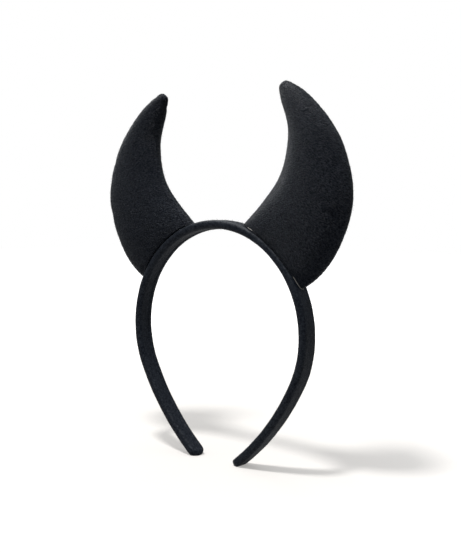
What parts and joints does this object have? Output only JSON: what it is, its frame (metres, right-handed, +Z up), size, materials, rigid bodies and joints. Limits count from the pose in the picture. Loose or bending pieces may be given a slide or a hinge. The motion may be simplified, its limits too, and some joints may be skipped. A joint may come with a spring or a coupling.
{
  "type": "devil horns headband",
  "caption": "Felt-wrapped open hoop hair band with a pair of stuffed felt crescent horns sewn on its outer face.",
  "frame": {"origin": "on the surface it stands on, midway between the band's two tips and midway front to back", "axes": "+Z up from the tips to the horns, +X from the left horn to the right horn, -Y the front"},
  "size_m": [0.1608, 0.024, 0.1947],
  "materials": {
    "band_felt": "brushed black felt, matte",
    "horn_felt": "pebbled black felt, matte"
  },
  "bodies": {
    "root": {"headband": "band_felt", "horn_right_front": "horn_felt", "horn_right_back": "horn_felt", "horn_left_front": "horn_felt", "horn_left_back": "horn_felt"}
  },
  "joints": []
}
